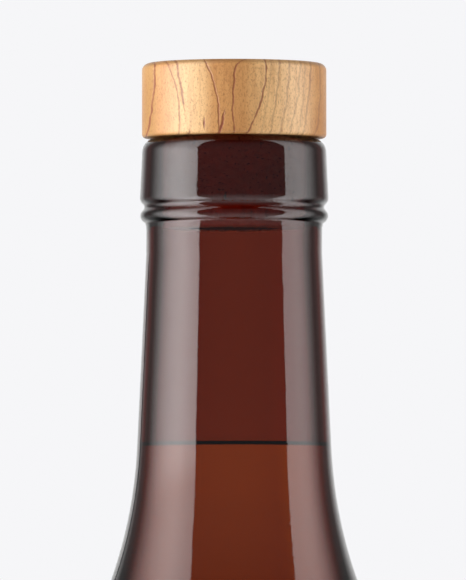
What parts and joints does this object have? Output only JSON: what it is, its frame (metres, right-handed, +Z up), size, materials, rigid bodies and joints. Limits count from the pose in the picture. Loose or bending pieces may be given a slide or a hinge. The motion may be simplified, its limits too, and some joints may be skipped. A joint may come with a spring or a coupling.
{
  "type": "glass bottle with cork stopper",
  "caption": "Round amber glass bottle with a long neck, part filled with a drink and closed by a push-in cork stopper with a turned wood head.",
  "frame": {"origin": "middle of the ring that the bottle stands on", "axes": "+Z up along the bottle's axis, towards the stopper"},
  "size_m": [0.076, 0.076, 0.24],
  "materials": {
    "amber_glass": "polished",
    "drink": "polished",
    "wood": "satin",
    "cork": "matte"
  },
  "bodies": {
    "bottle": {"glass_bottle": "amber_glass", "drink": "drink"},
    "stopper": {"stopper_head": "wood", "cork_shank": "cork"}
  },
  "joints": [
    {"name": "stopper_pull", "type": "slide", "parent": "bottle", "child": "stopper", "axis": [0, 0, 1], "range_m": [0, 0.03]}
  ]
}
